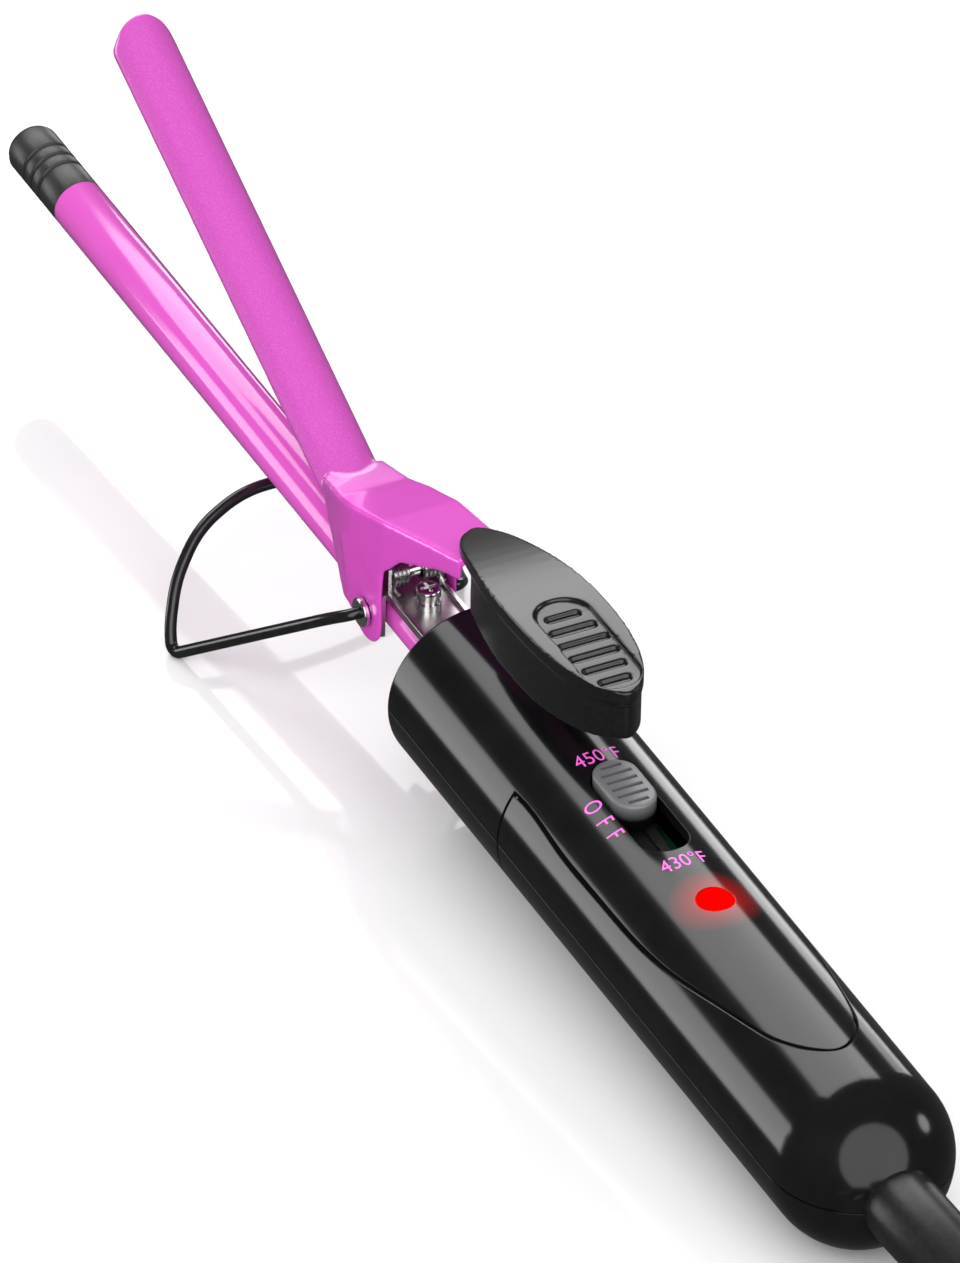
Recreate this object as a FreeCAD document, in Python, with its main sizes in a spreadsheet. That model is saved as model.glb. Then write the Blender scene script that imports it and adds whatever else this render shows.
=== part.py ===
import FreeCAD, Part
import math
import os

from FreeCAD import Placement, Rotation, Vector

# Curling iron, millimetres. Every sub-part is drawn in the iron's own frame: the origin is on the
# clamp's hinge line, +X runs along the barrel to its tip, +Y is the left side and +Z is up. One
# placement then leans the whole iron on its wire stand, with the table at Z = 0.

doc = FreeCAD.newDocument("curling_iron")

SIZES = {
    "barrel_radius": 4.5,
    "barrel_bore": 3.5,
    "barrel_front": 120.4,
    "barrel_root": -46.0,
    "tip_end": 138.9,
    "handle_front": -24.2,
    "handle_radius": 15.2,
    "handle_wall": 2.0,
    "dome_centre": -159.5,
    "lean_angle": 2.66,
    "hinge_height": 22.6,
    "centre_shift": 17.9,
    "open_angle": 24.8,
    "blade_outer": 5.6,
    "blade_inner": 4.8,
    "blade_base": 15.0,
    "blade_end": 112.0,
    "sheet": 0.8,
    "ear_outer": 7.0,
    "ear_radius": 5.4,
    "bush_outer": 1.7,
    "bush_bore": 1.08,
    "stand_wire": 1.0,
    "rail_half": 5.0,
    "rail_top": 5.4,
    "flat_level": 3.9,
    "switch_centre": -83.2,
    "switch_length": 24.4,
    "switch_width": 8.6,
    "knob_length": 13.4,
    "knob_width": 7.6,
    "switch_travel": 10.0,
    "lens_place": -109.5,
    "lens_radius": 3.1,
    "ring_groove": -64.0,
    "groove_width": 0.5,
    "groove_depth": 0.5,
    "cord_radius": 3.25,
    "plug_width": 20.0,
    "blade_pitch": 12.7,
}

sheet = doc.addObject("Spreadsheet::Sheet", "sizes")
for row, (alias, value) in enumerate(SIZES.items(), start=1):
    sheet.set("A%d" % row, alias)
    sheet.set("B%d" % row, str(value))
    sheet.setAlias("B%d" % row, alias)
doc.recompute()


def size(alias):
    return float(sheet.get(alias))


LEAN = Placement(
    Vector(size("centre_shift"), 0, size("hinge_height")),
    Rotation(Vector(0, 1, 0), -size("lean_angle")),
)
OPEN = Placement(Vector(0, 0, 0), Rotation(Vector(0, 1, 0), -size("open_angle")))
ALONG_X = Rotation(Vector(0, 1, 0), 90)
ALONG_Y = Rotation(Vector(-1, 0, 0), 90)
UP = Vector(0, 0, 1)
SCREW_PLACES = (-56.0, -132.0)
SCREW_X = -8.4
SPRING_X = -2.6
SPRING_Z = 7.9
subparts = []


def keep(thing, label, placement=LEAN):
    """Makes an object a sub-part: its label names its file."""
    thing.Label = label
    thing.Placement = placement * thing.Placement
    subparts.append(thing)
    return thing


def solid(label, shape, placement=LEAN):
    """A sub-part whose shape is made with Part's own functions."""
    feature = doc.addObject("Part::Feature", label)
    feature.Shape = shape.removeSplitter()
    return keep(feature, label, placement)


def cylinder(name, radius, length, start, direction=ALONG_X):
    """A Part::Cylinder whose radius and height are expressions on the sheet."""
    thing = doc.addObject("Part::Cylinder", name)
    thing.setExpression("Radius", radius)
    thing.setExpression("Height", length)
    thing.Placement = Placement(start, direction)
    return thing


def block(name, length, width, height, corner):
    """A Part::Box whose sizes are expressions on the sheet."""
    thing = doc.addObject("Part::Box", name)
    thing.setExpression("Length", length)
    thing.setExpression("Width", width)
    thing.setExpression("Height", height)
    thing.Placement = Placement(corner, Rotation())
    return thing


def boolean(kind, name, base, tool):
    """A Part::Cut, Part::Fuse or Part::Common of two objects."""
    thing = doc.addObject(kind, name)
    thing.Base = base
    thing.Tool = tool
    return thing


def rod(radius, start, end):
    """A round bar between two points."""
    axis = end - start
    return Part.makeCylinder(radius, axis.Length, start, axis)


def turned(points):
    """The solid made by turning an outline of (x, radius) points round the X axis."""
    vectors = [Vector(x, 0, radius) for x, radius in points]
    wire = Part.makePolygon(vectors + vectors[:1])
    return Part.Face(wire).revolve(Vector(0, 0, 0), Vector(1, 0, 0), 360)


def racetrack(length, width, low, high, centre_x=0.0, centre_y=0.0):
    """An upright prism with two straight sides and two round ends, long in X."""
    radius = width / 2
    reach = length / 2 - radius
    left = Vector(centre_x - reach, centre_y, low)
    right = Vector(centre_x + reach, centre_y, low)
    side = Vector(0, radius, 0)
    tip = Vector(radius, 0, 0)
    wire = Part.Wire([
        Part.LineSegment(left + side, right + side).toShape(),
        Part.Arc(right + side, right + tip, right - side).toShape(),
        Part.LineSegment(right - side, left - side).toShape(),
        Part.Arc(left - side, left - tip, left + side).toShape(),
    ])
    return Part.Face(wire).extrude(Vector(0, 0, high - low))


def side_plate(points, half_width):
    """A prism across the iron, from a side outline of (x, z) points."""
    vectors = [Vector(x, -half_width, z) for x, z in points]
    wire = Part.makePolygon(vectors + vectors[:1])
    return Part.Face(wire).extrude(Vector(0, 2 * half_width, 0))


def crowned_plate(top, rest, half):
    """A plate across the iron whose top edge is one smooth curve, closed by straight edges."""
    curve = Part.BSplineCurve()
    curve.interpolate([Vector(x, -half, z) for x, z in top])
    corners = [Vector(x, -half, z) for x, z in [top[-1]] + rest + [top[0]]]
    wire = Part.Wire([curve.toShape()] + Part.makePolygon(corners).Edges)
    return Part.Face(wire).extrude(Vector(0, 2 * half, 0))


def smooth_plan(half_points, low, high):
    """An upright prism from half of a plan outline, mirrored over the X axis."""
    upper = [Vector(x, y, low) for x, y in half_points]
    lower = [Vector(x, -y, low) for x, y in reversed(half_points[1:-1])]
    curve = Part.BSplineCurve()
    curve.interpolate(upper + lower, PeriodicFlag=True)
    return Part.Face(Part.Wire([curve.toShape()])).extrude(Vector(0, 0, high - low))


def rounded_path(points):
    """Straight runs joined by tangent arcs, and the arcs' radii."""
    edges = []
    radii = []
    start = points[0]
    for before, corner, after in zip(points, points[1:], points[2:]):
        back = before - corner
        ahead = after - corner
        turn = math.pi - back.getAngle(ahead)
        reach = 0.45 * min(back.Length, ahead.Length)
        radii.append(reach / math.tan(turn / 2))
        entry = corner + back.normalize() * reach
        leave = corner + ahead.normalize() * reach
        middle = back + ahead
        middle.normalize()
        depth = radii[-1] / math.cos(turn / 2) - radii[-1]
        edges.append(Part.LineSegment(start, entry).toShape())
        edges.append(Part.Arc(entry, corner + middle * depth, leave).toShape())
        start = leave
    edges.append(Part.LineSegment(start, points[-1]).toShape())
    return Part.Wire(edges), radii


def swept(radius, points, label):
    """A round wire or cord along a rounded path, with its volume compared."""
    path, radii = rounded_path(points)
    first = points[1] - points[0]
    circle = Part.Wire([Part.makeCircle(radius, points[0], first)])
    tube = path.makePipeShell([circle], True, False)
    expected = math.pi * radius * radius * path.Length
    print(label, "radii", [round(r, 1) for r in radii], "length", round(path.Length, 1),
          "volume ratio", round(tube.Volume / expected, 4))
    return tube


def mirrored(shape):
    """The same shape on the other side of the iron."""
    return shape.mirror(Vector(0, 0, 0), Vector(0, 1, 0))


# ---- barrel, heater and tip -------------------------------------------------------------------

def barrel():
    """Drawn steel tube with a flat pressed on its root for the hinge bracket."""
    root = Vector(size("barrel_root"), 0, 0)
    length = "sizes.barrel_front - sizes.barrel_root"
    outside = cylinder("barrel_outside", "sizes.barrel_radius", length, root)
    bore = cylinder("barrel_bore_tool", "sizes.barrel_bore", length, root)
    tube = boolean("Part::Cut", "barrel_round", outside, bore)
    flat = block("barrel_flat", "27 mm", "12 mm", "4 mm", Vector(-24.0, -6.0, size("flat_level") + 0.02))
    pressed = boolean("Part::Cut", "barrel_pressed", tube, flat)
    hole = cylinder("barrel_screw_hole", "1.42 mm", "5 mm", Vector(SCREW_X, 0, 2), Rotation())
    keep(boolean("Part::Cut", "barrel_drilled", pressed, hole), "barrel_tube")


def tip_cap():
    """Heat-proof cap: same diameter as the tube, three grip grooves, a spigot into the tube."""
    radius = size("barrel_radius")
    front = size("barrel_front")
    end = size("tip_end")
    spigot = size("barrel_bore") - 0.02
    outline = [(front - 5, 0), (front - 5, spigot), (front, spigot), (front, radius)]
    for centre in (front + 6.2, front + 9.0, front + 11.8):
        outline += [(centre - 0.45, radius), (centre - 0.25, radius - 0.4)]
        outline += [(centre + 0.25, radius - 0.4), (centre + 0.45, radius)]
    outline += [(end - 1.2, radius), (end - 0.35, radius - 0.35), (end, radius - 1.3), (end, 0)]
    solid("tip_cap", turned(outline))


def heater():
    """Ceramic heater rod in a mica sleeve, with its two leads running back into the handle."""
    keep(cylinder("heater_rod", "2.4 mm", "100 mm", Vector(14, 0, 0)), "heater_core")
    sleeve = cylinder("sleeve_outside", "3.3 mm", "108 mm", Vector(6, 0, 0))
    bore = cylinder("sleeve_bore", "2.45 mm", "108 mm", Vector(6, 0, 0))
    keep(boolean("Part::Cut", "sleeve_cut", sleeve, bore), "mica_sleeve")
    bend = Vector(-45, 1.3, 0)
    lead = rod(0.6, Vector(13.9, 1.3, 0), bend).fuse(Part.makeSphere(0.6, bend))
    lead = lead.fuse(rod(0.6, bend, Vector(-63, 6.5, 4.0)))
    solid("heater_leads", Part.makeCompound([lead, mirrored(lead)]))


def collar():
    """Heat-resistant collar that holds the tube in the handle's mouth."""
    front = size("handle_front") - size("handle_wall")
    outside = cylinder("collar_outside", "10 mm", "9 mm", Vector(front - 9, 0, 0))
    bore = cylinder("collar_bore", "sizes.barrel_radius + 0.02", "9 mm", Vector(front - 9, 0, 0))
    keep(boolean("Part::Cut", "collar_cut", outside, bore), "barrel_collar")


# ---- handle -----------------------------------------------------------------------------------

def handle_form(inset):
    """The handle's round form with a domed rear, shrunk by an inset."""
    radius = size("handle_radius") - inset
    front = size("handle_front") - inset
    centre = Vector(size("dome_centre"), 0, 0)
    body = Part.makeCylinder(radius, front - centre.x, centre, Vector(1, 0, 0))
    form = body.fuse(Part.makeSphere(radius, centre))
    rim = [edge for edge in form.Edges if abs(edge.BoundBox.XMin - front) < 0.01 and edge.Length > 50]
    return form.removeSplitter() if inset else form.removeSplitter().makeFillet(0.8, rim[:1])


def groove_cutters():
    """The thin styling grooves: a ring under the grip and a tongue outline over the top."""
    depth = size("groove_depth")
    half = size("groove_width") / 2
    place = size("ring_groove")
    radius = size("handle_radius")
    skin = Part.makeCylinder(radius + 2, 120, Vector(place - 100, 0, 0), Vector(1, 0, 0)).cut(
        Part.makeCylinder(radius - depth, 120, Vector(place - 100, 0, 0), Vector(1, 0, 0)))
    ring = Part.makeBox(2 * half, 60, 60, Vector(place - half, -30, 8.8 - 60)).common(skin)
    tongue = []
    for grow in (half, -half):
        outline = [(-38 - 8 * grow, 0), (-42, 12.0 + grow), (place, 12.4 + grow), (-80, 12.6 + grow),
                   (-94, 12.6 + grow), (-108, 12.4 + grow), (-120, 11.4 + grow), (-130, 9.8 + grow),
                   (-140, 8.0 + grow), (-146.6 - grow, 5.8 + grow), (-152 - grow, 0)]
        tongue.append(smooth_plan(outline, 0, 20))
    limit = Part.makeBox(100, 40, 20, Vector(place - 100 + half, -20, 0))
    band = tongue[0].cut(tongue[1]).common(limit).common(skin)
    return ring, band


def housings():
    """Upper and lower shells of the handle, split on the iron's middle plane."""
    shell = handle_form(0).cut(handle_form(size("handle_wall")))
    mouth = Part.makeCylinder(size("barrel_radius") + 0.02, 20, Vector(-40, 0, 0), Vector(1, 0, 0))
    rear = Part.makeCylinder(5.0, 30, Vector(-190, 0, 0), Vector(1, 0, 0))
    shell = shell.cut(mouth).cut(rear)
    ring, band = groove_cutters()
    above = Part.makeBox(200, 60, 40, Vector(-190, -30, 0))
    below = Part.makeBox(200, 60, 40, Vector(-190, -30, -40))

    upper = shell.common(above)
    slot = racetrack(size("switch_length"), size("switch_width"), 8, 20, size("switch_centre"))
    lamp = Part.makeCylinder(size("lens_radius") + 0.02, 20, Vector(size("lens_place"), 0, 5), UP)
    upper = upper.cut(slot).cut(lamp).cut(ring).cut(band)
    for place in SCREW_PLACES:
        post = Part.makeCylinder(3.0, 14.4, Vector(place, 0, -0.88), UP)
        pilot = Part.makeCylinder(1.42, 7.0, Vector(place, 0, -1.0), UP)
        upper = upper.fuse(post).cut(pilot)
    solid("upper_housing", upper)

    lower = shell.common(below)
    step = handle_form(0).cut(handle_form(0.45)).common(
        Part.makeBox(200, 60, 0.4, Vector(-190, -30, -0.4)))
    lower = lower.cut(step).cut(ring)
    for place in SCREW_PLACES:
        boss = Part.makeCylinder(3.0, 13.2, Vector(place, 0, -14.1), UP)
        pilot = Part.makeCylinder(1.42, 20.0, Vector(place, 0, -17.0), UP)
        counterbore = Part.makeCylinder(2.6, 4.8, Vector(place, 0, -17.0), UP)
        lower = lower.fuse(boss).cut(pilot).cut(counterbore)
    solid("lower_housing", lower)


def housing_screws():
    """Two pan-head screws that close the shells from below."""
    screws = []
    for place in SCREW_PLACES:
        head = Part.makeCylinder(2.4, 1.7, Vector(place, 0, -13.98), UP)
        shank = Part.makeCylinder(1.4, 18.0, Vector(place, 0, -13.98), UP)
        cross = Part.makeBox(2.8, 0.6, 0.9, Vector(place - 1.4, -0.3, -13.98))
        cross = cross.fuse(Part.makeBox(0.6, 2.8, 0.9, Vector(place - 0.3, -1.4, -13.98)))
        screws.append(head.fuse(shank).cut(cross))
    solid("housing_screws", Part.makeCompound(screws))


# ---- switch, board and lamp -------------------------------------------------------------------

def switch():
    """Three-position slide switch: knob with six grip slots over a boxed contact body."""
    knob_place = size("switch_centre") + size("switch_travel") / 2 + 0.4
    top = size("handle_radius") + 1.1
    knob = racetrack(size("knob_length"), size("knob_width"), 11.6, top, knob_place)
    knob = knob.makeFillet(0.5, [edge for edge in knob.Edges if edge.BoundBox.ZMin > top - 0.01])
    for index in range(6):
        centre = knob_place + (index - 2.5) * 1.95
        reach = 3.6 if index in (0, 5) else 5.4
        slot = Part.makeBox(0.8, reach, 1.0, Vector(centre - 0.4, -reach / 2, top - 0.6))
        knob = knob.cut(slot)
    tongue = Part.makeBox(3.0, 2.4, 2.3, Vector(knob_place - 1.5, -1.2, 9.4))
    solid("switch_knob", knob.fuse(tongue))

    centre = size("switch_centre")
    case = Part.makeBox(20, 7, 5.9, Vector(centre - 10, -3.5, 3.21))
    trough = Part.makeBox(16.6, 3.4, 3.0, Vector(centre - 8.3, -1.7, 8.4))
    solid("switch_body", case.cut(trough))


def electronics():
    """Printed board carrying the switch and the lamp, and the thermal fuse under it."""
    keep(block("board_blank", "66 mm", "16 mm", "1.6 mm", Vector(-126, -8, 1.6)), "control_board")
    lamp_place = size("lens_place")
    can = Part.makeCylinder(1.5, 6.0, Vector(lamp_place, 0, 3.21), UP)
    can = can.fuse(Part.makeSphere(1.5, Vector(lamp_place, 0, 9.2)))
    solid("indicator_lamp", can)
    fuse_body = rod(1.6, Vector(-104, 4, -1.0), Vector(-92, 4, -1.0))
    legs = rod(0.4, Vector(-108, 4, -1.0), Vector(-88, 4, -1.0))
    solid("thermal_fuse", fuse_body.fuse(legs))


def lens():
    """Round lamp window, slightly domed, with a flange behind the shell."""
    place = Vector(size("lens_place"), 0, 0)
    radius = size("lens_radius")
    top = size("handle_radius")
    window = Part.makeCylinder(radius, 4.0, place + Vector(0, 0, top - 3.6), UP)
    ball = Part.makeSphere(9.0, place + Vector(0, 0, top + 0.9 - 9.0))
    flange = Part.makeCylinder(radius + 1.0, 1.0, place + Vector(0, 0, top - 4.0), UP)
    solid("indicator_lens", window.common(ball).fuse(flange))


# ---- hinge ------------------------------------------------------------------------------------

def bracket():
    """Plated channel on the tube's flat: two raised rails and two ears down to the hinge line."""
    half = size("rail_half")
    level = size("flat_level") + 0.02
    gauge = 0.7
    floor = Part.makeBox(22, 2 * half, gauge, Vector(-21, -half, level))
    shape = floor
    for side in (-1, 1):
        rail_y = side * half - (gauge if side > 0 else 0)
        shape = shape.fuse(Part.makeBox(22, gauge, size("rail_top") - level, Vector(-21, rail_y, level)))
        ear_y = side * 5.4 - (gauge / 2)
        ear = Part.makeBox(7, gauge, 8.0, Vector(-3.5, ear_y, -3.3))
        bridge = Part.makeBox(7, 0.9, gauge, Vector(-3.5, side * 5.2 - 0.45, level))
        shape = shape.fuse(ear).fuse(bridge)
    bore = Part.makeCylinder(size("bush_outer") + 0.01, 20, Vector(0, -10, 0), Vector(0, 1, 0))
    screw_hole = Part.makeCylinder(1.42, 6, Vector(SCREW_X, 0, 1), UP)
    channel = Part.makeCylinder(size("barrel_radius") + 0.02, 40, Vector(-30, 0, 0), Vector(1, 0, 0))
    below = Part.makeBox(60, 14, level + 6, Vector(-30, -7, -6))
    shape = shape.cut(bore).cut(screw_hole).cut(channel.common(below))
    solid("hinge_bracket", shape)


def bracket_screw():
    """Cross-head screw with a stepped washer, holding the bracket to the tube."""
    level = size("flat_level") + 0.72
    washer = Part.makeCylinder(2.2, 1.1, Vector(SCREW_X, 0, level), UP)
    washer = washer.fuse(Part.makeCylinder(1.85, 1.0, Vector(SCREW_X, 0, level + 1.1), UP))
    washer = washer.cut(Part.makeCylinder(1.42, 4, Vector(SCREW_X, 0, level - 1), UP))
    solid("bracket_washer", washer)
    seat = level + 2.1
    head = Part.makeCylinder(2.1, 1.5, Vector(SCREW_X, 0, seat), UP)
    head = head.makeFillet(0.6, [edge for edge in head.Edges if edge.BoundBox.ZMin > seat + 1.4])
    shank = Part.makeCylinder(1.4, 5.4, Vector(SCREW_X, 0, seat - 5.4), UP)
    cross = Part.makeBox(2.6, 0.55, 0.9, Vector(SCREW_X - 1.3, -0.275, seat + 0.8))
    cross = cross.fuse(Part.makeBox(0.55, 2.6, 0.9, Vector(SCREW_X - 0.275, -1.3, seat + 0.8)))
    solid("bracket_screw", head.fuse(shank).cut(cross))


def torsion_spring():
    """Double torsion spring on its pin: two close-wound coils, a bridge and two legs."""
    gauge = 0.35
    outline = [Vector(0, 1.2, 1.5)]
    for turn in range(4):
        start = 1.2 + turn * 0.75
        outline += [Vector(0, start, 2.0), Vector(0, start + 0.2, 2.25), Vector(0, start + 0.55, 2.25)]
    outline += [Vector(0, 4.2, 2.0), Vector(0, 4.2, 1.5)]
    face = Part.Face(Part.makePolygon(outline + outline[:1]))
    coil = face.revolve(Vector(0, 0, 0), Vector(0, 1, 0), 360)
    coil.translate(Vector(SPRING_X, 0, SPRING_Z))
    leg = rod(gauge, Vector(SPRING_X, 3.8, SPRING_Z - 1.75), Vector(SPRING_X - 3.0, 3.8, 5.8))
    half = coil.fuse(leg)
    bridge = rod(gauge, Vector(SPRING_X, -1.6, SPRING_Z + 1.75), Vector(SPRING_X, 1.6, SPRING_Z + 1.75))
    solid("torsion_spring", half.fuse(mirrored(half)).fuse(bridge))
    pin = rod(1.2, Vector(SPRING_X, -4.6, SPRING_Z), Vector(SPRING_X, 4.6, SPRING_Z))
    posts = []
    for side in (-1, 1):
        post = Part.makeBox(3.0, 0.7, 4.7, Vector(SPRING_X - 1.5, side * 4.65 - 0.35, 5.42))
        posts.append(post)
    solid("spring_pin", pin.fuse(posts[0]).fuse(posts[1]))


def bushings():
    """Two flanged hollow bushings, pressed in the bracket's ears: the clamp turns on them."""
    outer = size("bush_outer")
    ear = size("ear_outer")
    one = rod(outer, Vector(0, 5.05, 0), Vector(0, ear + 0.3, 0))
    flange = rod(2.5, Vector(0, ear + 0.3, 0), Vector(0, ear + 1.2, 0))
    flange = flange.makeFillet(0.3, [e for e in flange.Edges if e.BoundBox.YMin > ear + 1.19])
    bore = rod(size("bush_bore"), Vector(0, 4, 0), Vector(0, ear + 3, 0))
    left = one.fuse(flange).cut(bore)
    solid("pivot_bushings", Part.makeCompound([left, mirrored(left)]))


# ---- clamp and thumb rest ---------------------------------------------------------------------

def blade():
    """The spoon: a half pipe over the barrel with a rounded end, in the clamp's own frame."""
    start = size("blade_base")
    end = size("blade_end")
    outer = size("blade_outer")
    pipe = Part.makeCylinder(outer, end - start, Vector(start, 0, 0), Vector(1, 0, 0))
    pipe = pipe.cut(Part.makeCylinder(size("blade_inner"), end - start, Vector(start, 0, 0), Vector(1, 0, 0)))
    trim = racetrack(2 * (end - start), 2 * outer + 0.2, 0.5, 10, start)
    return pipe.common(trim)


def saddle_form(inset):
    """The pressed saddle behind the blade: side outline crossed with plan outline."""
    top = [(19.5, 13.6 - inset), (11.0, 15.2 - inset), (-5.0, 21.2 - inset), (-29.0, 28.6 - inset)]
    lift = 8.0
    bottom = [(-29.0, 24.6 - lift * bool(inset)), (-22.5, 22.2 - lift * bool(inset)),
              (-10.5, 16.2 - lift * bool(inset)), (-5.6, 11.0 - lift * bool(inset)),
              (-4.2, 5.0 - lift), (8.8, 5.0 - lift), (17.0, 7.8 - lift * bool(inset))]
    sides = side_plate(top + bottom, 12)
    plan = [(19.5, 5.6), (13.0, 6.2), (6.0, 7.0), (-6.0, 7.0), (-20.0, 5.6), (-29.0, 5.0)]
    outline = [Vector(x, y - inset, -20) for x, y in plan]
    outline += [Vector(x, -(y - inset), -20) for x, y in reversed(plan)]
    if inset:
        outline = [v + Vector(0.5 if v.x > 19 else (-0.5 if v.x < -28 else 0), 0, 0) for v in outline]
        sides = side_plate([(20.0, 13.5 - inset)] + top[1:3] + [(-29.5, 28.76 - inset)] + [
            (-29.5, -20.0), (20.0, -20.0)], 12)
    prism = Part.Face(Part.makePolygon(outline + outline[:1])).extrude(Vector(0, 0, 60))
    return sides.common(prism)


def clamp():
    """One pressed sheet: blade, saddle, two hinge ears and the arm inside the thumb rest."""
    sheet_gauge = size("sheet")
    ear = size("ear_outer")
    spoon = blade()
    spoon.Placement = OPEN
    saddle = saddle_form(0).cut(saddle_form(sheet_gauge))
    barrel_room = Part.makeCylinder(size("blade_inner"), 60, Vector(-20, 0, 0), Vector(1, 0, 0))
    barrel_room.Placement = OPEN
    saddle = saddle.cut(barrel_room)
    shape = spoon.fuse(saddle)
    for side in (-1, 1):
        inner = side * ear if side < 0 else ear - sheet_gauge
        disc = Part.makeCylinder(size("ear_radius"), sheet_gauge, Vector(0, inner, 0), Vector(0, 1, 0))
        web = [(5.38, -0.6), (8.6, 5.2), (9.5, 9.0), (-5.0, 13.0), (-5.3, 1.0)]
        vectors = [Vector(x, inner, z) for x, z in web]
        plate = Part.Face(Part.makePolygon(vectors + vectors[:1])).extrude(Vector(0, sheet_gauge, 0))
        shape = shape.fuse(disc).fuse(plate)
    arm = Part.makeBox(36, 8.4, sheet_gauge, Vector(-64, -4.2, 27.75))
    shape = shape.fuse(arm)
    bore = Part.makeCylinder(size("bush_outer") + 0.06, 20, Vector(0, -10, 0), Vector(0, 1, 0))
    shape = shape.cut(bore)
    for place in THUMB_SCREWS:
        shape = shape.cut(Part.makeCylinder(1.3, 4, Vector(place, 0, 26), UP))
    solid("barrel_clamp", shape)


THUMB_SCREWS = (-41, -61)
REST_SHIFT = Vector(-3.0, 0, 0.4)


def thumb_plan(inset):
    """Half of the thumb rest's leaf-shaped plan, drawn in by an inset."""
    return [(-19.5 - inset, 0), (-22.0 - inset, 3.1 - inset * 0.5), (-28.0, 5.2 - inset),
            (-38.0, 7.1 - inset), (-50.0, 7.9 - inset), (-61.0, 7.4 - inset),
            (-70.0, 5.3 - inset), (-74.6 + inset, 2.4 - inset * 0.4), (-76.0 + inset, 0)]


def thumb_rest():
    """Moulded cap over the clamp's arm: leaf-shaped top, deep skirt, six slots in a shallow oval."""
    top = [(-17, 28.2), (-24, 30.0), (-34, 32.1), (-46, 33.7), (-60, 34.4), (-70, 34.5), (-78, 34.4)]
    lip = crowned_plate(top, [(-78, 32.0), (-60, 32.0), (-46, 31.2), (-34, 29.8), (-17, 26.6)], 12)
    lip = lip.common(smooth_plan(thumb_plan(0), 0, 50))
    skirt_profile = [(-30.5, 30.2), (-30.5, 21.8), (-44, 21.6), (-56, 22.2), (-68, 23.8), (-78, 25.6),
                     (-78, 33.0), (-46, 32.4)]
    skirt = side_plate(skirt_profile, 12).common(smooth_plan(thumb_plan(0.3), 0, 50))
    cavity_profile = [(-29.0, 28.7), (-29.0, 15), (-80, 15), (-80, 31.6), (-60, 31.6), (-46, 31.2)]
    cavity = side_plate(cavity_profile, 12).common(smooth_plan(thumb_plan(1.7), 0, 50))
    rest = lip.fuse(skirt).cut(cavity)
    mouth = Part.makeBox(8, 8.6, 12, Vector(-34.0, -4.3, 16.7))
    rest = rest.cut(mouth)
    for place in THUMB_SCREWS:
        boss = Part.makeCylinder(2.6, 5.0, Vector(place, 0, 28.57) - REST_SHIFT, UP)
        rest = rest.fuse(boss.common(crowned_plate(top, [(-78, 20), (-17, 20)], 12)))
        rest = rest.cut(Part.makeCylinder(1.02, 3.0, Vector(place, 0, 28.0) - REST_SHIFT, UP))
    dish = racetrack(26.0, 9.6, 33.4, 40, -61.0)
    rest = rest.cut(dish)
    for index, reach in enumerate((6.2, 8.2, 9.0, 8.6, 7.6, 5.6)):
        centre = -52.2 - index * 3.7
        slot = racetrack(reach, 1.5, 32.7, 40)
        slot.Placement = Placement(Vector(centre, 0, 0), Rotation(UP, 90))
        rest = rest.cut(slot)
    solid("thumb_rest", rest.translated(REST_SHIFT))


def thumb_screws():
    """Two small screws up through the arm into the thumb rest's bosses."""
    screws = []
    for place in THUMB_SCREWS:
        head = Part.makeCylinder(1.9, 1.2, Vector(place, 0, 26.53), UP)
        shank = Part.makeCylinder(1.0, 4.2, Vector(place, 0, 26.53), UP)
        cross = Part.makeBox(2.2, 0.5, 0.7, Vector(place - 1.1, -0.25, 26.53))
        screws.append(head.fuse(shank).cut(cross))
    solid("thumb_rest_screws", Part.makeCompound(screws))


# ---- wire stand -------------------------------------------------------------------------------

def wire_stand():
    """One bent wire: both ends turn in the bushings, two feet, and a hoop under the barrel."""
    foot_x = 31.4
    foot_y = 25.9
    foot_z = -23.9
    crest_x = 45.4
    crest_z = -5.85
    half = [Vector(0, 5.9, 0), Vector(0, 9.6, 0), Vector(3.4, 12.2, -2.3)]
    half.append(Vector(foot_x, foot_y, foot_z))
    for angle in (16, 36, 58, 80):
        swing = math.radians(angle)
        rise = math.sin(swing) ** 1.38
        half.append(Vector(foot_x + (crest_x - foot_x) * rise, foot_y * math.cos(swing) ** 0.76,
                           foot_z + 1.0 + (crest_z - foot_z - 1.0) * rise))
    other = [Vector(v.x, -v.y, v.z) for v in reversed(half)]
    solid("wire_stand", swept(size("stand_wire"), half + other, "wire_stand"))


# ---- cord and plug ----------------------------------------------------------------------------

def relief():
    """Soft sleeve that carries the cord out of the dome, thick for its first part, then tapering."""
    stations = [((-154.4, 0.0, 14.5), (-1, 0.00, -0.05), 6.2), ((-166.0, -0.5, 13.6), (-1, -0.10, -0.10), 6.2),
                ((-178.0, -2.3, 11.8), (-1, -0.18, -0.18), 5.6), ((-190.0, -4.8, 9.4), (-1, -0.22, -0.21), 4.5),
                ((-200.0, -7.1, 7.3), (-1, -0.24, -0.21), 3.9)]
    rings = []
    for place, heading, radius in stations:
        rings.append(Part.Wire([Part.makeCircle(radius, Vector(*place), Vector(*heading))]))
    sleeve = Part.makeLoft(rings, True)
    neck_end = Vector(*stations[0][0])
    neck = rod(4.4, neck_end, neck_end + Vector(12.5, 0, 0.58))
    disc = rod(6.6, neck_end + Vector(4.6, 0, 0.2), neck_end + Vector(7.6, 0, 0.35))
    solid("strain_relief", sleeve.fuse(neck).fuse(disc), Placement())


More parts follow.
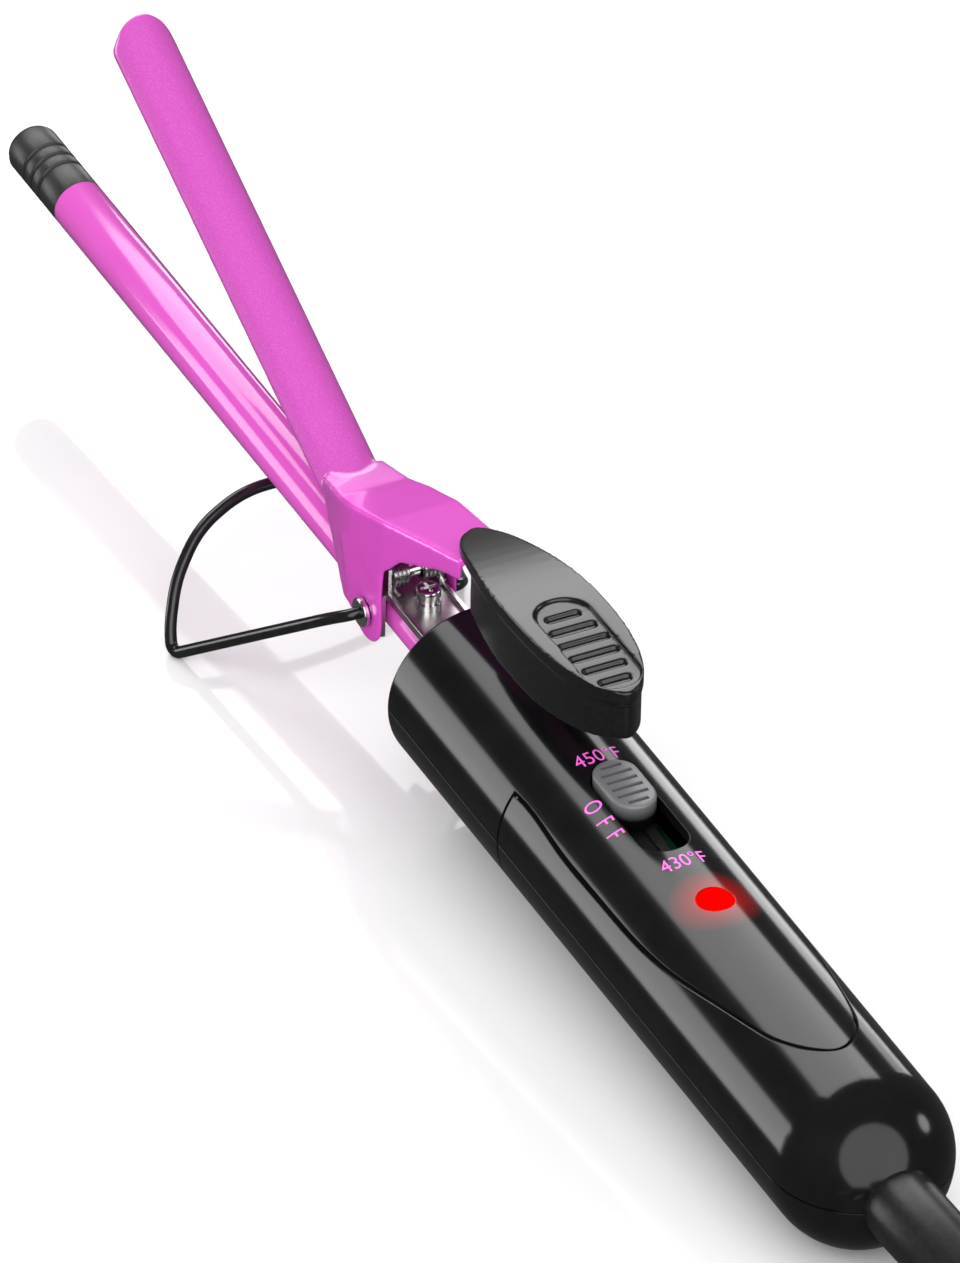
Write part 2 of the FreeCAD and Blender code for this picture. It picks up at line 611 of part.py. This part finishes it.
CORD_START = Vector(-200.0, -7.1, 7.3)
CORD_POINTS = [CORD_START, Vector(-217.0, -12.4, 3.9), Vector(-235.0, -18.6, 3.3), Vector(-254.0, -23.2, 3.3)]
TAIL_POINTS = [Vector(-252.0, 25.0, 15.2), Vector(-240.0, 24.9, 11.2), Vector(-227.0, 24.5, 6.8),
               Vector(-213.0, 24.2, 7.0)]
HANK_CENTRE = Vector(-320.0, 2.0, 0)
HANK_RUN = 106.0
HANK_LOOP = 45.5


def cord():
    """The lead: a free run off the relief, a hank of four and a half turns, a tail to the plug."""
    radius = size("cord_radius")
    solid("power_cord", swept(radius, CORD_POINTS, "power_cord"), Placement())
    solid("cord_tail", swept(radius, TAIL_POINTS, "cord_tail"), Placement())
    width = HANK_LOOP + 4 * radius
    hank = racetrack(HANK_RUN + width, width, 0.05, 19.0, HANK_CENTRE.x, HANK_CENTRE.y)
    hank = hank.makeFillet(5.0, [e for e in hank.Edges if e.BoundBox.ZLength < 0.01])
    solid("cord_hank", hank, Placement())
    outer = Part.makeBox(9, width + 2.4, 20.3, HANK_CENTRE + Vector(-4.5, -width / 2 - 1.2, 0.02))
    inner = Part.makeBox(9, width + 0.2, 19.1, HANK_CENTRE + Vector(-4.5, -width / 2 - 0.1, 0.02))
    inner = inner.fuse(Part.makeBox(9, width - 8, 19.1, HANK_CENTRE + Vector(-4.5, 4 - width / 2, -0.5)))
    solid("cord_tie", outer.cut(inner).cut(hank), Placement())


def plug():
    """Two-blade mains plug, lying beside the hank."""
    tail = TAIL_POINTS[-1]
    heading = TAIL_POINTS[-1] - TAIL_POINTS[-2]
    turn = Rotation(Vector(1, 0, 0), Vector(heading.x, heading.y, 0))
    width = size("plug_width")
    neck = Part.makeCone(4.2, 6.2, 9.0, Vector(0, 0, 0), Vector(1, 0, 0))
    body = Part.makeBox(17, width, 13.4, Vector(8.0, -width / 2, -6.7))
    body = body.makeFillet(3.0, body.Edges)
    place = Placement(tail, turn)
    solid("plug_body", neck.fuse(body), place)
    blades = []
    for side in (-1, 1):
        y = side * size("blade_pitch") / 2 - 0.75
        tongue = Part.makeBox(17.5, 1.5, 6.35, Vector(25.0, y, -3.175))
        blades.append(tongue)
    solid("plug_blades", Part.makeCompound(blades), place)


def cord_grip():
    """Plate and two screws that hold the cord inside the handle's rear."""
    plate = Part.makeBox(7, 18, 4.4, Vector(-146, -9, -9.4)).cut(
        Part.makeCylinder(2.6, 20, Vector(-152, 0, -4.6), Vector(1, 0, 0)))
    screws = []
    for side in (-1, 1):
        hole = Part.makeCylinder(1.22, 6, Vector(-142.5, side * 6.4, -10), UP)
        plate = plate.cut(hole)
        head = Part.makeCylinder(2.0, 1.3, Vector(-142.5, side * 6.4, -4.98), UP)
        shank = Part.makeCylinder(1.2, 4.2, Vector(-142.5, side * 6.4, -9.0), UP)
        screws.append(head.fuse(shank))
    solid("cord_grip", plate)
    solid("cord_grip_screws", Part.makeCompound(screws))


barrel()
tip_cap()
heater()
collar()
housings()
housing_screws()
switch()
electronics()
lens()
bracket()
bracket_screw()
torsion_spring()
bushings()
clamp()
thumb_rest()
thumb_screws()
wire_stand()
relief()
cord()
plug()
cord_grip()
doc.recompute()

problems = []
for thing in doc.Objects:
    if "Invalid" in thing.State or "Error" in thing.State:
        problems.append(thing.Label + " is " + ", ".join(thing.State))
for thing in subparts:
    if thing.Shape.isNull() or not thing.Shape.isValid():
        problems.append(thing.Label + " has no valid shape")
if problems:
    raise SystemExit("\n".join(problems))

os.makedirs("parts", exist_ok=True)
for thing in subparts:
    thing.Shape.exportStep("parts/" + thing.Label + ".step")
    box = thing.Shape.BoundBox
    print("%-20s %d solid(s) x %.1f..%.1f y %.1f..%.1f z %.1f..%.1f vol %.0f" % (
        thing.Label, len(thing.Shape.Solids), box.XMin, box.XMax, box.YMin, box.YMax,
        box.ZMin, box.ZMax, thing.Shape.Volume))
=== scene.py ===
import math

import bmesh
import bpy
from mathutils import Matrix, Vector


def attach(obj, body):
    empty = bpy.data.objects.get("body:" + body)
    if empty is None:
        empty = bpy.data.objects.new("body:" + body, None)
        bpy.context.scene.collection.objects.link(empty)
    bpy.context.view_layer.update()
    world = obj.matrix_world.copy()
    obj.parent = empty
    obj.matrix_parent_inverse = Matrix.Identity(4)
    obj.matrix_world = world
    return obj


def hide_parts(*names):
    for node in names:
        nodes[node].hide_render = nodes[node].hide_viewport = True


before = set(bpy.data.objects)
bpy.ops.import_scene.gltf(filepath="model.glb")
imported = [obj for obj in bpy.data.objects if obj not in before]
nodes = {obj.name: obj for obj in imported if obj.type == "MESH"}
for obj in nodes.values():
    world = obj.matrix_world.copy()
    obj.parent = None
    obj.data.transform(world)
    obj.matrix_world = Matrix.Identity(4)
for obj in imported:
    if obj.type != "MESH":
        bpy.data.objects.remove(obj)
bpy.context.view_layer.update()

# ---- The iron's place on the table ----
# The iron leans on its wire stand, tip up, so its own axes are turned a little from the table's.
# Places on it are given along the barrel, to its left and above its axis, from the hinge line.
HINGE = Vector((0.0179, 0.0, 0.0226))
LEAN = math.radians(2.66)
AHEAD = Vector((math.cos(LEAN), 0, math.sin(LEAN)))
ABOVE = Vector((-math.sin(LEAN), 0, math.cos(LEAN)))


def on_iron(along, left, above):
    """A point on the table's axes, in metres, from millimetres in the iron's own axes."""
    return HINGE + AHEAD * along * 0.001 + Vector((0, left * 0.001, 0)) + ABOVE * above * 0.001


# ---- Studio ----
# A white sheet on a table, lit by large soft boxes: their long edges draw the pale bands along the
# glossy handle and barrel. The sheet has a slight polish and carries a weak mirror image.
def linear(code):
    """An sRGB hex colour as linear red, green, blue and alpha."""
    parts = [int(code[i:i + 2], 16) / 255 for i in (1, 3, 5)]
    return [c / 12.92 if c <= 0.04045 else ((c + 0.055) / 1.055) ** 2.4 for c in parts] + [1.0]


def add(material, kind, links=(), **settings):
    """Adds one shader node: settings are its properties or inputs, links are (input, socket)."""
    node = material.node_tree.nodes.new(kind)
    for name, value in settings.items():
        if name[0].islower():
            setattr(node, name, value)
        else:
            node.inputs[name.replace("_", " ")].default_value = value
    for name, socket in links:
        material.node_tree.links.new(socket, node.inputs[name])
    return node


def ramp(material, factor, *stops):
    """A colour ramp over (position, hex colour) stops."""
    node = add(material, "ShaderNodeValToRGB", [("Fac", factor)])
    elements = node.color_ramp.elements
    while len(elements) < len(stops):
        elements.new(0.5)
    for element, (position, code) in zip(elements, stops):
        element.position = position
        element.color = linear(code)
    return node.outputs["Color"]


def surface(name, **settings):
    """A new material: its Principled shader with these inputs, and its object coordinates."""
    material = bpy.data.materials.new(name)
    material.use_nodes = True
    shader = material.node_tree.nodes["Principled BSDF"]
    for key, value in settings.items():
        shader.inputs[key.replace("_", " ")].default_value = value
    return material, shader, add(material, "ShaderNodeTexCoord").outputs["Object"]


def grained(name, dark, light, grain, bump, **settings):
    """A material whose tone drifts between two colours in grains of so many mm, with a fine relief."""
    material, shader, place = surface(name, **settings)
    noise = add(material, "ShaderNodeTexNoise", [("Vector", place)], Scale=1000 / grain, Detail=3.0)
    rounded = add(material, "ShaderNodeBevel", samples=6, Radius=0.00015)
    relief = add(material, "ShaderNodeBump", [("Height", noise.outputs["Fac"]),
                 ("Normal", rounded.outputs["Normal"])], Strength=1.0, Distance=bump * 0.001)
    tone = ramp(material, noise.outputs["Fac"], (0.35, dark), (0.65, light))
    material.node_tree.links.new(tone, shader.inputs["Base Color"])
    material.node_tree.links.new(relief.outputs["Normal"], shader.inputs["Normal"])
    return material


def new_piece(name, mesh, material):
    """Links a mesh or curve with its material as a new object."""
    piece = bpy.data.objects.new(name, mesh)
    bpy.context.collection.objects.link(piece)
    mesh.materials.append(material)
    return piece


sheet_mesh = bpy.data.meshes.new("paper_sheet")
sheet_mesh.from_pydata([(-6, -6, 0), (6, -6, 0), (6, 6, 0), (-6, 6, 0)], [], [(0, 1, 2, 3)])
paper_sheet = new_piece("paper_sheet", sheet_mesh, grained(
    "polished_white_board", "#D8D8D8", "#DBDBDB", 120.0, 0.0, Roughness=0.06, IOR=1.34))
paper_sheet.location.z = -0.00005
paper_sheet.visible_glossy = False

room = bpy.data.worlds.new("dim_studio")
bpy.context.scene.world = room
room.use_nodes = True
room.node_tree.nodes["Background"].inputs["Color"].default_value = linear("#FFFFFF")
room.node_tree.nodes["Background"].inputs["Strength"].default_value = 0.09


def soft_box(name, shape, direction, distance, width, height, radiance, across=None):
    """A soft box that faces the iron from a direction; across is the way its width runs."""
    direction = Vector(direction).normalized()
    light = bpy.data.lights.new(name, "AREA")
    light.shape = shape
    light.size = width
    light.size_y = height
    light.energy = radiance * width * height * math.pi * (math.pi / 4 if shape == "ELLIPSE" else 1)
    lamp = bpy.data.objects.new(name, light)
    lamp.location = direction * distance
    across = Vector(across or (-direction.y, direction.x, 0))
    across = (across - direction * across.dot(direction)).normalized()
    turn = Matrix((across, direction.cross(across), direction)).transposed()
    lamp.rotation_euler = turn.to_euler()
    lamp.visible_camera = False
    bpy.context.collection.objects.link(lamp)
    return lamp


soft_box("top_front_box", "RECTANGLE", (0.74, -0.14, 0.658), 3.0, 3.0, 1.5, 4.6, (0, 0.978, 0.208))
soft_box("left_box", "RECTANGLE", (0.74, 0.67, 0.03), 3.0, 1.1, 1.35, 4.6)
soft_box("right_box", "RECTANGLE", (0.74, -0.65, 0.02), 3.0, 0.7, 0.8, 4.0)
overhead = soft_box("overhead_box", "RECTANGLE", (-0.2, 0.1, 1.0), 3.0, 3.8, 3.8, 0.7)
overhead.visible_glossy = False
fill = soft_box("fill_box", "RECTANGLE", (-0.35, 0.8, 0.7), 3.0, 3.4, 2.2, 2.4)
fill.visible_glossy = False
soft_box("back_disc", "ELLIPSE", (-0.96, 0.10, 0.46), 2.6, 4.4, 4.4, 2.8)
soft_box("small_disc", "ELLIPSE", (-0.2, -0.93, 0.3), 3.0, 0.8, 0.8, 6.0)

# The camera stands far behind, to the left of and above the iron, with a long lens.
VIEW_AZIMUTH = math.radians(243.473)
VIEW_ELEVATION = math.radians(34.193)
VIEW_DISTANCE = 3.69147
VIEW_SHIFT = Vector((0.01221, -0.00507, 0))
LENS_LENGTH = 861.4
back = Vector((
    math.sin(VIEW_AZIMUTH) * math.cos(VIEW_ELEVATION),
    -math.cos(VIEW_AZIMUTH) * math.cos(VIEW_ELEVATION),
    math.sin(VIEW_ELEVATION),
))
aim = back.to_track_quat("Z", "Y")
lens = bpy.data.cameras.new("long_lens")
lens.sensor_fit = "HORIZONTAL"
lens.sensor_width = 36.0
lens.lens = LENS_LENGTH
lens.clip_end = 50.0
camera = bpy.data.objects.new("camera", lens)
camera.rotation_euler = aim.to_euler()
camera.location = HINGE + back * VIEW_DISTANCE + aim @ VIEW_SHIFT
bpy.context.collection.objects.link(camera)
bpy.context.scene.camera = camera
bpy.context.scene.view_settings.view_transform = "Standard"


# ---- Barrel, tip and collar ----
# The barrel is a 9 mm steel tube under a glossy pink ceramic enamel. Its cool tip is a cap of
# heat-proof nylon with three grip rings, and a nylon collar holds its root inside the handle.
SHARP_TURN = math.radians(38)
WELD_GAP = 0.000002


def dress(material, *names):
    """Gives CAD nodes a material."""
    for name in names:
        nodes[name].data.materials.clear()
        nodes[name].data.materials.append(material)


def ease(width, *names):
    """Rounds by this many mm the CAD nodes' edges that turn more than SHARP_TURN."""
    for name in names:
        weld = nodes[name].modifiers.new("weld", "WELD")
        weld.merge_threshold = WELD_GAP
        bevel = nodes[name].modifiers.new("ease", "BEVEL")
        bevel.width = width * 0.001
        bevel.segments = 3
        bevel.limit_method = "ANGLE"
        bevel.angle_limit = SHARP_TURN
        bevel.harden_normals = True
        for face in nodes[name].data.polygons:
            face.use_smooth = True


enamel = grained("gloss_pink_enamel", "#CD52B5", "#D158BA", 30.0, 0.002, Roughness=0.13, IOR=1.5)
dress(enamel, "barrel_tube")
nylon = grained("glass_filled_nylon", "#1E1E1F", "#262628", 0.5, 0.012, Roughness=0.42)
dress(nylon, "tip_cap", "barrel_collar")
ease(0.25, "tip_cap", "barrel_collar")
ease(0.1, "barrel_tube")

# ---- Heater inside the barrel ----
# A white ceramic rod heater in a mica sleeve, with two glass-braided leads to the board.
dress(grained("fired_ceramic", "#D9D4C8", "#E8E4DA", 1.2, 0.01, Roughness=0.6), "heater_core")
dress(grained("mica_sheet", "#B79E6C", "#D2BE90", 2.5, 0.01, Roughness=0.3), "mica_sleeve")
dress(grained("glass_braid", "#C9C2AE", "#E4DFD0", 0.4, 0.03, Roughness=0.8), "heater_leads")

# ---- Handle ----
# Two half shells of gloss black ABS that meet on a seam and are screwed together from below, with
# a narrow ring groove and a tongue-shaped groove line on top. A red glow round the lamp is painted
# on the shell as emission.
HANDLE_RADIUS = 15.2
LAMP_ALONG = -109.5
abs_black, abs_shader, abs_place = surface("gloss_black_abs", Roughness=0.14, IOR=1.37)
orange_peel = add(abs_black, "ShaderNodeTexNoise", [("Vector", abs_place)], Scale=160.0, Detail=2.0)
abs_tone = ramp(abs_black, orange_peel.outputs["Fac"], (0.3, "#0D0D0E"), (0.7, "#121213"))
abs_edge = add(abs_black, "ShaderNodeBevel", samples=6, Radius=0.0002)
abs_relief = add(abs_black, "ShaderNodeBump", [("Height", orange_peel.outputs["Fac"]),
                 ("Normal", abs_edge.outputs["Normal"])], Strength=1.0, Distance=0.000003)
abs_black.node_tree.links.new(abs_tone, abs_shader.inputs["Base Color"])
abs_black.node_tree.links.new(abs_relief.outputs["Normal"], abs_shader.inputs["Normal"])
lamp_far = add(abs_black, "ShaderNodeVectorMath", [("Vector", abs_place)], operation="DISTANCE")
lamp_far.inputs[1].default_value = on_iron(LAMP_ALONG, 0, HANDLE_RADIUS)
# The painted glow: emission on the black shell round the lens, fading within 2.5 mm of the lens's rim.
painted_lamp_glow = ramp(abs_black, lamp_far.outputs["Value"], (0.0030, "#F00000"), (0.0036, "#AA0000"),
            (0.0043, "#560000"), (0.0055, "#000000"))
abs_black.node_tree.links.new(painted_lamp_glow, abs_shader.inputs["Emission Color"])
abs_shader.inputs["Emission Strength"].default_value = 1.0
dress(abs_black, "upper_housing", "lower_housing")
steel_screw = grained("zinc_plated_steel", "#A9A9AD", "#C4C4C8", 0.8, 0.004, Metallic=1.0, Roughness=0.3)
dress(steel_screw, "housing_screws", "cord_grip_screws", "thumb_rest_screws")


pad_ink = grained("pink_pad_ink", "#F767D8", "#FF70DF", 0.6, 0.004, Roughness=0.4)
TYPE_SIZE = 1.4
TYPE_WIDTH = 0.78
LONGEST_EDGE = 0.35
INK_RADIUS = HANDLE_RADIUS + 0.05


def printed(name, text, along, left, height, reading, spacing):
    """Ink on the handle's top: a line of narrow type laid on its round surface, in mm.

    TYPE_SIZE is the type's size for capitals of height 1, and reading is the turn of the line.
    """
    type_curve = bpy.data.curves.new(name, "FONT")
    type_curve.body = text
    type_curve.align_x = "CENTER"
    type_curve.align_y = "CENTER"
    type_curve.size = height * TYPE_SIZE
    type_curve.space_character = spacing
    flat = bpy.data.objects.new(name + "_flat", type_curve)
    mesh = bpy.data.meshes.new_from_object(flat)
    bpy.data.objects.remove(flat)
    work = bmesh.new()
    work.from_mesh(mesh)
    bmesh.ops.triangulate(work, faces=work.faces)
    for _ in range(4):
        long_edges = [e for e in work.edges if e.calc_length() > LONGEST_EDGE]
        bmesh.ops.subdivide_edges(work, edges=long_edges, cuts=1)
        bmesh.ops.triangulate(work, faces=work.faces)
    turn = Matrix.Rotation(reading, 2)
    for vertex in work.verts:
        ahead, side = turn @ Vector((vertex.co.x * TYPE_WIDTH, vertex.co.y))
        angle = (left + side) / HANDLE_RADIUS
        vertex.co = on_iron(along + ahead, INK_RADIUS * math.sin(angle), INK_RADIUS * math.cos(angle))
    work.to_mesh(mesh)
    work.free()
    piece = new_piece(name, mesh, pad_ink)
    onto = piece.modifiers.new("onto_the_shell", "SHRINKWRAP")
    onto.target = nodes["upper_housing"]
    onto.offset = 0.00003
    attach(piece, "frame")


MARK_HEIGHT = 3.1
printed("mark_high", "450\u00b0F", -68.4, 0.0, MARK_HEIGHT, math.radians(-90), 1.0)
printed("mark_low", "430\u00b0F", -98.6, 0.0, MARK_HEIGHT, math.radians(-90), 1.0)
printed("mark_off", "OFF", -82.3, 6.3, MARK_HEIGHT, math.radians(180), 2.2)

# ---- Slide switch, lamp and board ----
# A ribbed slide knob over the switch body that the board carries; its colour is set by height, grey
# on the ribs and lighter at their tops, with painted shade that makes the slots black and unreflective.
# The lamp shines in a low domed red lens, and the board holds the fuse.
KNOB_TOP = 16.3
LENS_PROFILE = [(0.0, 15.75), (0.8, 15.74), (1.6, 15.66), (2.3, 15.5), (2.8, 15.25), (3.05, 14.9),
                (3.1, 14.4), (3.1, 9.6), (0.0, 9.6)]
knob_abs, knob_shader, knob_place = surface("satin_abs_painted_slot_shade", Roughness=0.3, IOR=1.5)
knob_high = add(knob_abs, "ShaderNodeVectorMath", [("Vector", knob_place)], operation="DOT_PRODUCT")
knob_high.inputs[1].default_value = ABOVE
knob_level = HINGE.dot(ABOVE) + KNOB_TOP * 0.001
slot_level = knob_level - 0.0003
rib_level = knob_level - 0.0001
knob_grain = add(knob_abs, "ShaderNodeTexNoise", [("Vector", knob_place)], Scale=4000.0, Detail=2.0)
knob_speck = add(knob_abs, "ShaderNodeMath", operation="MULTIPLY_ADD")
knob_speck.inputs[1].default_value = 0.0001
knob_abs.node_tree.links.new(knob_grain.outputs["Fac"], knob_speck.inputs[0])
knob_abs.node_tree.links.new(knob_high.outputs["Value"], knob_speck.inputs[2])
# Painted shade by height: the colour falls to black in the slots, and their specular level falls nearly
# to nothing so they reflect no light.
knob_tone_and_slot_shade = ramp(knob_abs, knob_speck.outputs["Value"], (slot_level, "#070708"),
                 (rib_level, "#4A4A4C"), (knob_level, "#78787A"))
knob_abs.node_tree.links.new(knob_tone_and_slot_shade, knob_shader.inputs["Base Color"])
knob_shine_and_slot_shade = ramp(knob_abs, knob_high.outputs["Value"], (slot_level, "#101010"),
                  (rib_level, "#BCBCBC"))
knob_abs.node_tree.links.new(knob_shine_and_slot_shade, knob_shader.inputs["Specular IOR Level"])
dress(knob_abs, "switch_knob")
dress(nylon, "switch_body", "cord_grip")
red, red_shader, red_place = surface("lit_red_lens", Roughness=0.5, Specular_IOR_Level=0.0)
glow = add(red, "ShaderNodeTexNoise", [("Vector", red_place)], Scale=300.0, Detail=1.0)
red_tone = ramp(red, glow.outputs["Fac"], (0.3, "#F50000"), (0.7, "#FF0400"))
red.node_tree.links.new(red_tone, red_shader.inputs["Emission Color"])
red_shader.inputs["Base Color"].default_value = linear("#200000")
red_shader.inputs["Emission Strength"].default_value = 1.1
dress(red, "indicator_lamp")
LENS_SIDES = 72


def turned_lens():
    """The lens as a round solid: its profile of (radius, level) turned about the lamp's axis."""
    work = bmesh.new()
    rings = []
    for reach, level in LENS_PROFILE:
        angles = [2 * math.pi * n / LENS_SIDES for n in range(LENS_SIDES if reach else 1)]
        rings.append([work.verts.new(on_iron(
            LAMP_ALONG + reach * math.cos(a), reach * math.sin(a), level)) for a in angles])
    for upper, lower in zip(rings, rings[1:]):
        for n in range(LENS_SIDES):
            corners = [upper[n % len(upper)], lower[n % len(lower)],
                       lower[(n + 1) % len(lower)], upper[(n + 1) % len(upper)]]
            work.faces.new(list(dict.fromkeys(corners))).smooth = True
    bmesh.ops.recalc_face_normals(work, faces=work.faces)
    mesh = bpy.data.meshes.new("domed_lens")
    work.to_mesh(mesh)
    work.free()
    return mesh


domed_lens = new_piece("domed_lens", turned_lens(), red)
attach(domed_lens, "frame")
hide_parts("indicator_lens")
dress(grained("green_solder_mask", "#1F5B36", "#2A6E44", 3.0, 0.01, Roughness=0.35), "control_board")
dress(grained("fuse_ceramic", "#C8BFA8", "#DDD5C2", 0.8, 0.01, Roughness=0.5), "thermal_fuse")

# ---- Hinge: bracket, screw, spring, bushings ----
# A satin nickel-plated steel bracket screwed on the barrel's flat carries the pin with its torsion
# spring; bright bushings in its ears are the hinge's bearings and hold the ends of the stand.
nickel = grained("bright_nickel_plate", "#D2D0CF", "#E2E0E0", 4.0, 0.001, Metallic=1.0, Roughness=0.16)
dress(grained("satin_nickel_plate", "#CFCDCC", "#DEDCDC", 1.5, 0.002, Metallic=1.0, Roughness=0.34),
      "hinge_bracket")
dress(nickel, "bracket_washer", "bracket_screw", "spring_pin", "pivot_bushings")
dress(grained("spring_steel", "#9C9A9C", "#B9B7B8", 0.8, 0.004, Metallic=1.0, Roughness=0.25),
      "torsion_spring")

# ---- Clamp ----
# One pressed steel sheet: a half-round blade, a saddle with two hinge ears and a flat arm under the
# thumb rest. It is sprayed pink with a fine pearl flake under a satin lacquer, and the coat is
# glossier and lighter on the saddle than on the blade.
pearl, pearl_shader, pearl_place = surface("pearl_pink_lacquer", Roughness=0.34, IOR=1.5, Metallic=0.12)
flakes = add(pearl, "ShaderNodeTexNoise", [("Vector", pearl_place)], Scale=6500.0, Detail=2.0)
pearl_tone = ramp(pearl, flakes.outputs["Fac"], (0.30, "#B845A6"), (0.55, "#BE4BAC"), (0.72, "#CE70BF"))
pearl_relief = add(pearl, "ShaderNodeBump", [("Height", flakes.outputs["Fac"])], Strength=0.5,
                   Distance=0.00003)
pearl.node_tree.links.new(pearl_relief.outputs["Normal"], pearl_shader.inputs["Normal"])
pearl_split = add(pearl, "ShaderNodeSeparateXYZ", [("Vector", pearl_place)])
pearl_gloss = ramp(pearl, pearl_split.outputs["X"], (0.027, "#202020"), (0.036, "#606060"))
pearl_blade = ramp(pearl, pearl_split.outputs["X"], (0.024, "#000000"), (0.034, "#FFFFFF"))
pearl_coat = add(pearl, "ShaderNodeMixRGB", [("Fac", pearl_blade), ("Color2", pearl_tone)],
                 Color1=linear("#DB49C4"))
pearl.node_tree.links.new(pearl_coat.outputs["Color"], pearl_shader.inputs["Base Color"])
pearl.node_tree.links.new(pearl_gloss, pearl_shader.inputs["Coat Roughness"])
pearl_shader.inputs["Coat Weight"].default_value = 0.6
dress(pearl, "barrel_clamp")


def soften(name, grain, passes):
    """Rebuilds a CAD node's skin in grains of so many mm and smooths its edges round."""
    skin = nodes[name].modifiers.new("skin", "REMESH")
    skin.mode = "VOXEL"
    skin.voxel_size = grain * 0.001
    skin.use_smooth_shade = True
    edges = nodes[name].modifiers.new("edges", "SMOOTH")
    edges.factor = 0.6
    edges.iterations = passes


soften("barrel_clamp", 0.28, 36)

# ---- Thumb rest ----
# A hollow shoe moulded in black ABS and screwed on the clamp's arm from below. Its top has a dished
# pad with six slots for the thumb, and its edges are moulded round.
dress(grained("satin_black_abs", "#0E0E0F", "#141415", 0.9, 0.002, Roughness=0.24, IOR=1.5), "thumb_rest")
soften("thumb_rest", 0.2, 10)

# ---- Wire stand ----
# A 2 mm steel wire bent to a hoop with two feet and coated in gloss black enamel. Its ends are bent in
# and turn in the bushings' bores, so it swings on the same line as the clamp.
dress(grained("black_stove_enamel", "#111112", "#19191A", 1.5, 0.008, Roughness=0.2), "wire_stand")

# ---- Mains lead ----
# Round flexible lead in soft PVC, about 1.8 m long: out of a plain sleeve, down to the table and
# into a hank of four and a half turns that a strap holds, with its moulded plug beside it.
CORD_RADIUS = 0.00325
LEAD_IN = [(-0.200, -0.0071, 0.0073), (-0.217, -0.0124, 0.0039), (-0.235, -0.0186, 0.0033),
           (-0.254, -0.0232, 0.0033)]
LEAD_OUT = [(-0.252, 0.0250, 0.0152), (-0.240, 0.0249, 0.0112), (-0.227, 0.0245, 0.0068),
            (-0.213, 0.0242, 0.0070)]
HANK_X = -0.320
HANK_Y = 0.002
HANK_RUN = 0.106
RUN_STEPS = 5
LOOP_STEPS = 7
# Each turn's lane: the radius of its loops and its height.
LANES = [(0.026, 0.00335), (0.0195, 0.00335), (0.0195, 0.00985), (0.026, 0.00985), (0.02275, 0.01548)]


def hank_route():
    """A run out and a run back for each lane, joined by half loops; a near loop changes lane."""
    near = HANK_X + HANK_RUN / 2
    far = HANK_X - HANK_RUN / 2
    route = []
    for number, (radius, height) in enumerate(LANES):
        for step in range(RUN_STEPS):
            route.append((near - HANK_RUN * step / RUN_STEPS, HANK_Y - radius, height))
        for step in range(LOOP_STEPS + 1):
            turn = math.pi * step / LOOP_STEPS
            route.append((far - radius * math.sin(turn), HANK_Y - radius * math.cos(turn), height))
        for step in range(1, RUN_STEPS + 1):
            route.append((far + HANK_RUN * step / RUN_STEPS, HANK_Y + radius, height))
        if number + 1 < len(LANES):
            next_radius, next_height = LANES[number + 1]
            for step in range(1, LOOP_STEPS):
                share = step / LOOP_STEPS
                turn = math.pi * share
                wide = radius + (next_radius - radius) * share
                high = height + (next_height - height) * share
                route.append((near + wide * math.sin(turn), HANK_Y + wide * math.cos(turn), high))
    return route


pvc = grained("soft_black_pvc", "#141415", "#1C1C1E", 0.7, 0.01, Roughness=0.36)
lead_curve = bpy.data.curves.new("mains_lead", "CURVE")
lead_curve.dimensions = "3D"
lead_curve.bevel_depth = CORD_RADIUS
lead_curve.bevel_resolution = 6
lead_curve.resolution_u = 6
lead_curve.use_fill_caps = True
lead_route = LEAD_IN + hank_route() + LEAD_OUT
lead_spline = lead_curve.splines.new("NURBS")
lead_spline.points.add(len(lead_route) - 1)
for point, spot in zip(lead_spline.points, lead_route):
    point.co = (*spot, 1.0)
lead_spline.order_u = 3
lead_spline.use_endpoint_u = True
mains_lead = new_piece("mains_lead", lead_curve, pvc)
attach(mains_lead, "frame")
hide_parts("power_cord", "cord_hank", "cord_tail")
dress(pvc, "strain_relief", "plug_body")
dress(grained("hook_strap_nylon", "#202021", "#303033", 0.6, 0.05, Roughness=0.85), "cord_tie")
dress(grained("nickel_plated_brass", "#B9B4A8", "#CBC6BC", 1.5, 0.004, Metallic=1.0, Roughness=0.25),
      "plug_blades")
ease(0.4, "cord_tie")
ease(0.2, "plug_blades")
